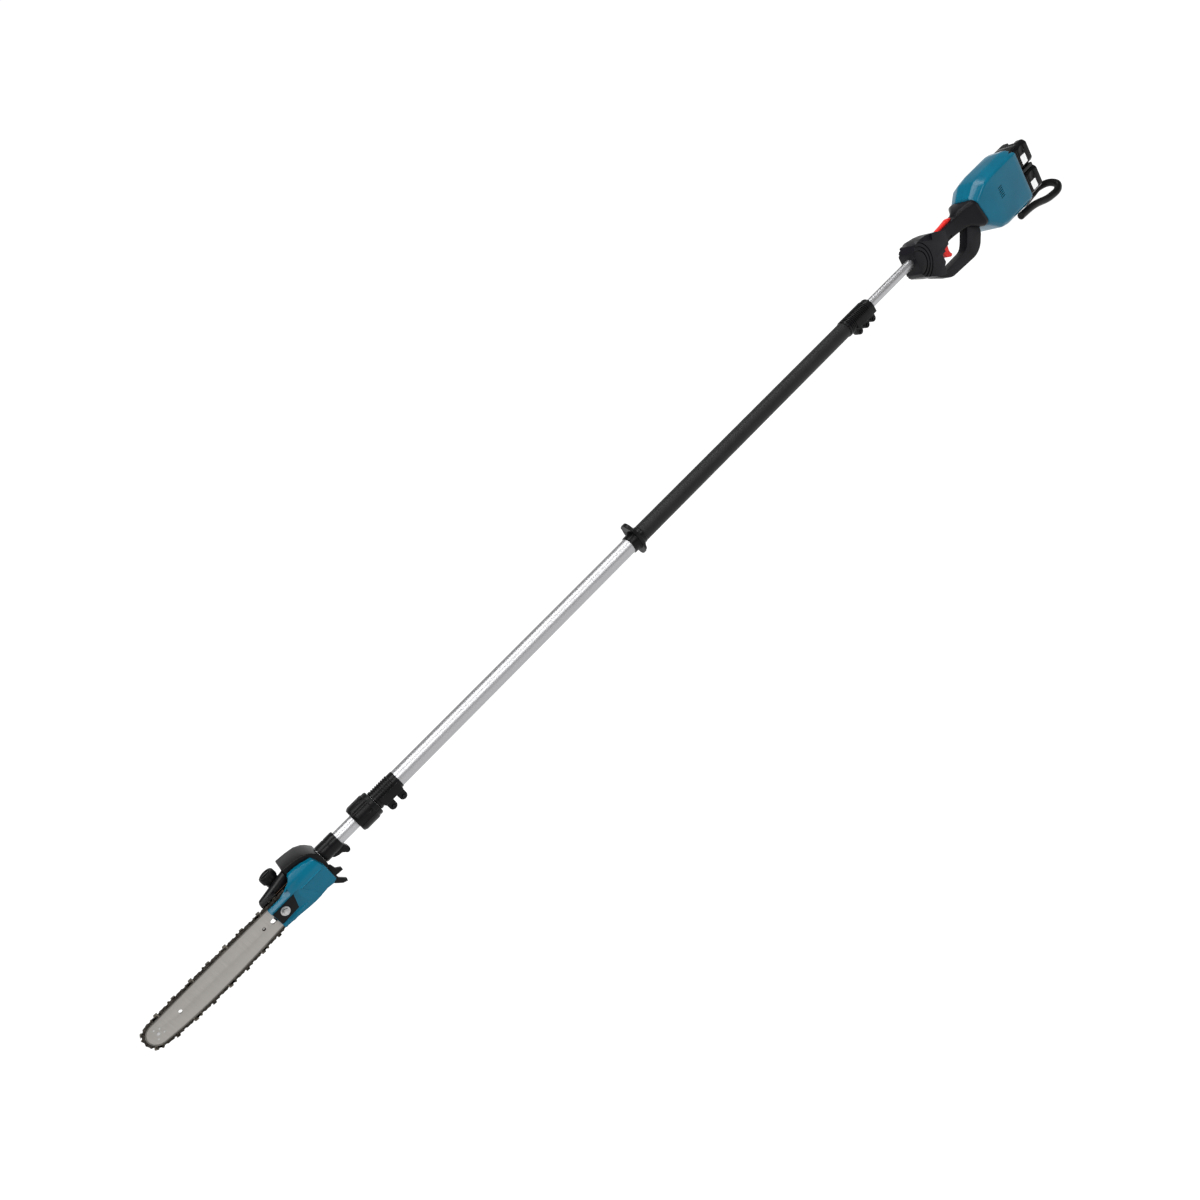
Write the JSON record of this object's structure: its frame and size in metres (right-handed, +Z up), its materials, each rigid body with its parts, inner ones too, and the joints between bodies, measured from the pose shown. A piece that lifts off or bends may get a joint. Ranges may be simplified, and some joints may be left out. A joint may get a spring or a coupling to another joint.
{
  "type": "telescoping pole saw",
  "caption": "Battery pole saw with a chain bar on a telescoping tube, foam front grip, looped rear handle, motor housing with battery packs and a rear rest hoop.",
  "frame": {"origin": "centre of the collapsed saw's bounding box in plan, at the level of its lowest point, the underside of the rear hoop", "axes": "+X along the pole towards the motor and batteries, the guide bar points to -X, +Z up with the lock-off lever on top of the grip, -Y on the side with the bar's sprocket cover"},
  "size_m": [2.8148, 0.1, 0.189],
  "materials": {
    "black_plastic": "moulded glass-filled nylon, satin",
    "teal_plastic": "gloss moulded ABS",
    "red_plastic": "gloss moulded ABS",
    "grey_plastic": "moulded nylon",
    "foam": "closed-cell foam sleeve",
    "silver_tube": "drawn and clear anodised",
    "bar_steel": "ground and satin",
    "chain_steel": "oiled dark steel",
    "steel": "turned",
    "bronze": "sintered bronze",
    "copper": "lacquered winding wire"
  },
  "bodies": {
    "pole": {"outer_tube": "silver_tube", "slide_bush": "grey_plastic", "front_clamp_left": "black_plastic", "front_clamp_right": "black_plastic", "front_clamp_screw_1": "steel", "front_clamp_screw_2": "steel", "hand_stop_ring": "black_plastic", "foam_grip": "foam", "rear_clamp_left": "black_plastic", "rear_clamp_right": "black_plastic", "rear_clamp_screw_1": "steel", "rear_clamp_screw_2": "steel", "rear_clamp_screw_3": "steel", "pipe_adapter": "grey_plastic", "rear_pipe": "silver_tube", "grip_shell_left": "black_plastic", "grip_shell_right": "black_plastic", "trigger_switch": "grey_plastic", "housing_left": "teal_plastic", "housing_right": "teal_plastic", "motor_stator": "copper", "front_bearing": "steel", "rear_bearing": "steel", "motor_controller": "grey_plastic", "battery_dock": "black_plastic", "rear_hoop": "black_plastic"},
    "telescope": {"inner_tube": "silver_tube", "tail_bush": "grey_plastic", "shaft_bush": "bronze", "head_sleeve": "black_plastic", "gear_case": "black_plastic", "gear_cover": "grey_plastic", "oil_tank": "black_plastic", "sprocket_cover": "teal_plastic", "bar_stud": "steel", "bar_nut": "steel", "tension_screw": "steel", "branch_hook": "black_plastic", "guide_bar": "bar_steel", "saw_chain": "chain_steel", "nose_rivet": "steel", "spindle_bearing": "steel"},
    "twist_collar": {"twist_collar": "black_plastic"},
    "rotor": {"rear_shaft": "steel", "motor_rotor": "steel", "cooling_fan": "grey_plastic"},
    "front_drive": {"front_shaft": "steel", "bevel_pinion": "steel"},
    "spindle": {"drive_spindle": "steel", "drive_sprocket": "chain_steel", "bevel_gear": "steel"},
    "nose_sprocket": {"nose_sprocket": "steel"},
    "oil_cap_plug": {"oil_cap_plug": "black_plastic"},
    "oil_cap": {"oil_cap": "black_plastic"},
    "trigger": {"trigger": "red_plastic"},
    "lock_off_lever": {"lock_off_lever": "red_plastic"},
    "battery_upper": {"battery_upper": "black_plastic"},
    "battery_lower": {"battery_lower": "black_plastic"},
    "release_button_upper": {"release_button_upper": "grey_plastic"},
    "release_button_lower": {"release_button_lower": "grey_plastic"}
  },
  "joints": [
    {"name": "telescope_slide", "type": "slide", "parent": "pole", "child": "telescope", "axis": [-1, 0, 0], "range_m": [0, 1.1]},
    {"name": "twist_collar_turn", "type": "hinge", "parent": "pole", "child": "twist_collar", "pos_m": [-0.88048, 0, 0.13746], "axis": [1, 0, 0], "range_deg": [0, 75]},
    {"name": "rotor_spin", "type": "hinge", "parent": "pole", "child": "rotor", "pos_m": [1.15952, 0, 0.13746], "axis": [1, 0, 0], "continuous": true},
    {"name": "front_shaft_spin", "type": "hinge", "parent": "telescope", "child": "front_drive", "pos_m": [-0.99048, 0, 0.13746], "axis": [1, 0, 0], "continuous": true},
    {"name": "spindle_spin", "type": "hinge", "parent": "telescope", "child": "spindle", "pos_m": [-1.03048, 0, 0.13746], "axis": [0, 1, 0], "continuous": true},
    {"name": "nose_sprocket_spin", "type": "hinge", "parent": "telescope", "child": "nose_sprocket", "pos_m": [-1.38008, -0.035, 0.13346], "axis": [0, 1, 0], "continuous": true},
    {"name": "oil_cap_lift", "type": "slide", "parent": "telescope", "child": "oil_cap_plug", "axis": [0, 0, 1], "range_m": [0, 0.03]},
    {"name": "oil_cap_turn", "type": "hinge", "parent": "oil_cap_plug", "child": "oil_cap", "pos_m": [-1.08048, 0.002, 0.18146], "axis": [0, 0, 1], "range_deg": [0, 120]},
    {"name": "trigger_pull", "type": "hinge", "parent": "pole", "child": "trigger", "pos_m": [0.98252, 0, 0.12146], "axis": [0, -1, 0], "range_deg": [0, 9], "stiffness_Nm_per_rad": 1.5},
    {"name": "lock_off_press", "type": "hinge", "parent": "pole", "child": "lock_off_lever", "pos_m": [0.98552, 0, 0.14546], "axis": [0, 1, 0], "range_deg": [0, 5], "stiffness_Nm_per_rad": 1},
    {"name": "battery_upper_slide", "type": "slide", "parent": "pole", "child": "battery_upper", "axis": [1, 0, 0], "range_m": [0, 0.13]},
    {"name": "battery_lower_slide", "type": "slide", "parent": "pole", "child": "battery_lower", "axis": [1, 0, 0], "range_m": [0, 0.13]},
    {"name": "release_button_upper_press", "type": "slide", "parent": "battery_upper", "child": "release_button_upper", "axis": [0, 0, -1], "range_m": [0, 0.003], "stiffness_N_per_m": 900},
    {"name": "release_button_lower_press", "type": "slide", "parent": "battery_lower", "child": "release_button_lower", "axis": [0, 0, -1], "range_m": [0, 0.003], "stiffness_N_per_m": 900}
  ],
  "couplings": [
    {"joint": "front_shaft_spin", "follows": "rotor_spin", "ratio": 1},
    {"joint": "spindle_spin", "follows": "rotor_spin", "ratio": 0.66667},
    {"joint": "nose_sprocket_spin", "follows": "rotor_spin", "ratio": 0.44444}
  ]
}
